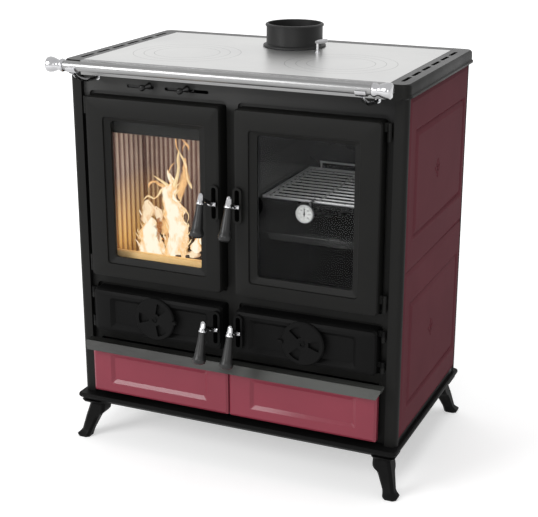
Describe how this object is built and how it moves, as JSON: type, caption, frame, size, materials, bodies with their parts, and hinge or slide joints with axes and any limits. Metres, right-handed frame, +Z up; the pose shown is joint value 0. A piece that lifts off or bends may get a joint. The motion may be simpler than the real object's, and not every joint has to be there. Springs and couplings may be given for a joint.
{
  "type": "wood-burning cookstove",
  "caption": "Free-standing wood-burning kitchen stove: glazed firebox and oven doors over two vented doors and a wood drawer, steel hob, flue collar and guard rail.",
  "frame": {"origin": "centre of the outline on the floor, under the middle of the stove", "axes": "+Z up; the front with the doors faces -Y; +X is to the right as seen from the front"},
  "size_m": [0.7638, 0.568, 0.9103],
  "materials": {
    "cast_black": "satin black stove enamel over casting",
    "enamel_red": "glossy burgundy enamel",
    "hob_steel": "ground and polished",
    "strip_steel": "brushed",
    "rail_steel": "fine brushed",
    "chrome": "bright",
    "sheet_dark": "satin grey",
    "grip_grey": "satin",
    "glass": "clear heat-proof",
    "firebrick": "matt",
    "fibre": "matt woven",
    "dial": "satin white",
    "wire": "satin"
  },
  "bodies": {
    "stove": {"plinth_frame": "cast_black", "front_frame": "cast_black", "top_rear_bar": "cast_black", "flue_collar": "cast_black", "fire_grate": "cast_black", "leg_front_left": "cast_black", "leg_front_right": "cast_black", "leg_rear_left": "cast_black", "leg_rear_right": "cast_black", "pillar_front_left": "cast_black", "pillar_front_right": "cast_black", "top_cheek_left": "cast_black", "top_cheek_right": "cast_black", "side_panel_upper_left": "enamel_red", "side_panel_upper_right": "enamel_red", "side_panel_lower_left": "enamel_red", "side_panel_lower_right": "enamel_red", "hob_plate": "hob_steel", "top_front_bar": "hob_steel", "rail_tube": "rail_steel", "rail_end_left": "chrome", "rail_end_right": "chrome", "rail_bracket_left": "chrome", "rail_bracket_right": "chrome", "back_panel": "sheet_dark", "ash_pan": "sheet_dark", "oven_box": "sheet_dark", "baking_tray": "sheet_dark", "firebox_liner": "firebrick", "thermometer_case": "dial", "oven_rack": "wire"},
    "firebox_door_leaf": {"firebox_door": "cast_black", "firebox_glass": "glass", "firebox_glass_frame": "sheet_dark", "firebox_door_gasket": "fibre"},
    "oven_door_leaf": {"oven_door": "cast_black", "oven_glass": "glass", "oven_glass_frame": "sheet_dark", "oven_door_gasket": "fibre"},
    "ash_door_leaf": {"ash_door": "cast_black"},
    "lower_oven_door_leaf": {"lower_oven_door": "cast_black"},
    "register_left": {"air_register_left": "cast_black"},
    "register_right": {"air_register_right": "cast_black"},
    "latch_upper_left": {"latch_lever_upper_left": "chrome", "latch_grip_upper_left": "grip_grey"},
    "latch_upper_right": {"latch_lever_upper_right": "chrome", "latch_grip_upper_right": "grip_grey"},
    "latch_lower_left": {"latch_lever_lower_left": "chrome", "latch_grip_lower_left": "grip_grey"},
    "latch_lower_right": {"latch_lever_lower_right": "chrome", "latch_grip_lower_right": "grip_grey"},
    "wood_drawer": {"wood_drawer_box": "sheet_dark", "drawer_panel_left": "enamel_red", "drawer_panel_right": "enamel_red", "drawer_grip_strip": "strip_steel"},
    "inner_air_lever": {"air_lever_inner": "chrome"},
    "outer_air_lever": {"air_lever_outer": "chrome"},
    "damper": {"damper_lever": "chrome"},
    "thermometer_hand": {"thermometer_needle": "cast_black"}
  },
  "joints": [
    {"name": "firebox_door_hinge", "type": "hinge", "parent": "stove", "child": "firebox_door_leaf", "pos_m": [-0.334, -0.17487, 0.591], "axis": [0, 0, -1], "range_deg": [0, 105]},
    {"name": "oven_door_hinge", "type": "hinge", "parent": "stove", "child": "oven_door_leaf", "pos_m": [0.334, -0.17487, 0.591], "axis": [0, 0, 1], "range_deg": [0, 105]},
    {"name": "ash_door_hinge", "type": "hinge", "parent": "stove", "child": "ash_door_leaf", "pos_m": [-0.334, -0.17487, 0.3145], "axis": [0, 0, -1], "range_deg": [0, 105]},
    {"name": "lower_oven_door_hinge", "type": "hinge", "parent": "stove", "child": "lower_oven_door_leaf", "pos_m": [0.334, -0.17487, 0.3145], "axis": [0, 0, 1], "range_deg": [0, 105]},
    {"name": "latch_upper_left_lift", "type": "hinge", "parent": "firebox_door_leaf", "child": "latch_upper_left", "pos_m": [-0.026, -0.20787, 0.591], "axis": [-1, 0, 0], "range_deg": [0, 35]},
    {"name": "latch_upper_right_lift", "type": "hinge", "parent": "oven_door_leaf", "child": "latch_upper_right", "pos_m": [0.026, -0.20787, 0.591], "axis": [-1, 0, 0], "range_deg": [0, 35]},
    {"name": "latch_lower_left_lift", "type": "hinge", "parent": "ash_door_leaf", "child": "latch_lower_left", "pos_m": [-0.026, -0.20787, 0.3175], "axis": [-1, 0, 0], "range_deg": [0, 35]},
    {"name": "latch_lower_right_lift", "type": "hinge", "parent": "lower_oven_door_leaf", "child": "latch_lower_right", "pos_m": [0.026, -0.20787, 0.3175], "axis": [-1, 0, 0], "range_deg": [0, 35]},
    {"name": "register_left_turn", "type": "hinge", "parent": "ash_door_leaf", "child": "register_left", "pos_m": [-0.1705, -0.20087, 0.3155], "axis": [0, -1, 0], "range_deg": [0, 60]},
    {"name": "register_right_turn", "type": "hinge", "parent": "lower_oven_door_leaf", "child": "register_right", "pos_m": [0.1705, -0.20087, 0.3155], "axis": [0, 1, 0], "range_deg": [0, 60]},
    {"name": "wood_drawer_slide", "type": "slide", "parent": "stove", "child": "wood_drawer", "axis": [0, -1, 0], "range_m": [0, 0.35]},
    {"name": "outer_air_lever_slide", "type": "slide", "parent": "stove", "child": "outer_air_lever", "axis": [1, 0, 0], "range_m": [-0.048, 0]},
    {"name": "inner_air_lever_slide", "type": "slide", "parent": "stove", "child": "inner_air_lever", "axis": [1, 0, 0], "range_m": [-0.044, 0.036]},
    {"name": "damper_turn", "type": "hinge", "parent": "stove", "child": "damper", "pos_m": [0.08, 0.09413, 0.86], "axis": [0, 0, 1], "range_deg": [-90, 30]},
    {"name": "thermometer_needle_turn", "type": "hinge", "parent": "stove", "child": "thermometer_hand", "pos_m": [0.137, -0.11477, 0.5635], "axis": [0, 1, 0], "range_deg": [-135, 135]}
  ]
}
